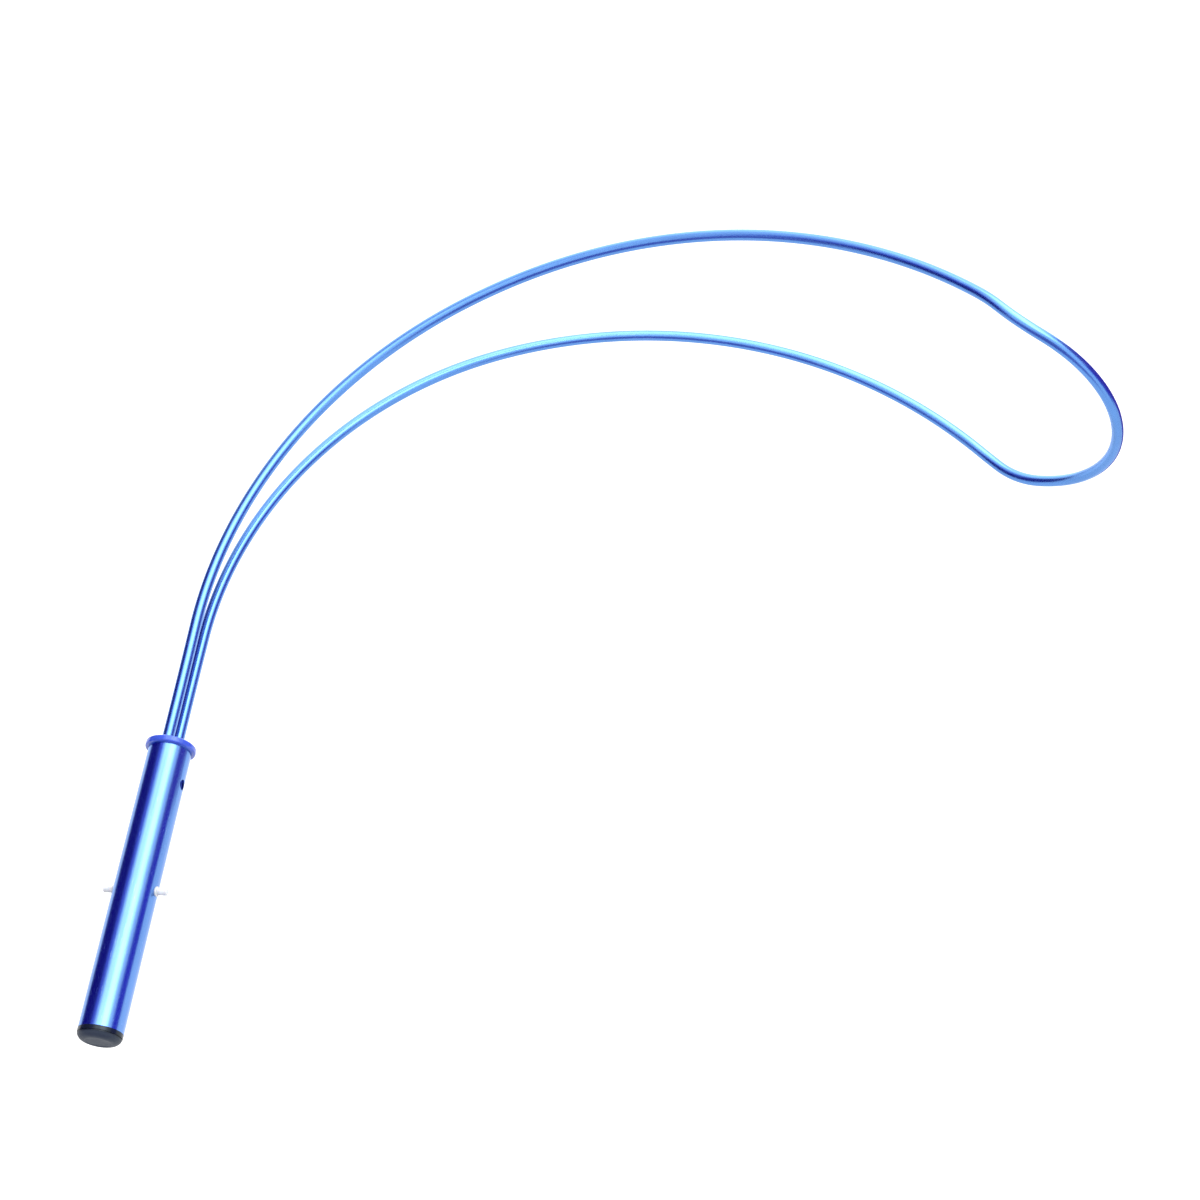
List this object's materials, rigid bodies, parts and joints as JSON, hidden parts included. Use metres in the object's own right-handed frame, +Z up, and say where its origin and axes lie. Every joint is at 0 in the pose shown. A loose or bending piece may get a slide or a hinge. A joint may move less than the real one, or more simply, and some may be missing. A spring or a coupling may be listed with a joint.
{
  "type": "pool rescue hook",
  "caption": "Shepherd's-crook pool rescue hook: a wide bent bar loop on a tubular handle whose snap buttons lock it into a telescopic pole.",
  "frame": {"origin": "on the handle's axis, level with the underside of the collar's flange, where a pole's mouth stops", "axes": "+Z up the handle towards the hook, +X the way the crook reaches, Y across the width of the loop"},
  "size_m": [0.6413, 0.1936, 0.5961],
  "materials": {
    "bar_anodised": "bright blue anodised, fine drawn grain",
    "tube_anodised": "bright blue anodised, fine drawn grain",
    "collar_plastic": "moulded, semi-gloss",
    "cap_plastic": "moulded, satin",
    "clip_plastic": "natural white acetal, semi-gloss"
  },
  "bodies": {
    "hook": {"hook_bar": "bar_anodised", "collar": "collar_plastic", "handle_tube": "tube_anodised", "end_cap": "cap_plastic", "clip_bow": "clip_plastic", "clip_leaf_front": "clip_plastic", "clip_leaf_rear": "clip_plastic"},
    "front_button": {"snap_button_front": "clip_plastic"},
    "rear_button": {"snap_button_rear": "clip_plastic"}
  },
  "joints": [
    {"name": "front_button_press", "type": "slide", "parent": "hook", "child": "front_button", "axis": [-1, 0, 0], "range_m": [0, 0.0075], "stiffness_N_per_m": 1500, "springref_m": -0.002, "deforming": ["clip_leaf_front"]},
    {"name": "rear_button_press", "type": "slide", "parent": "hook", "child": "rear_button", "axis": [1, 0, 0], "range_m": [0, 0.0075], "stiffness_N_per_m": 1500, "springref_m": -0.002, "deforming": ["clip_leaf_rear"]}
  ]
}
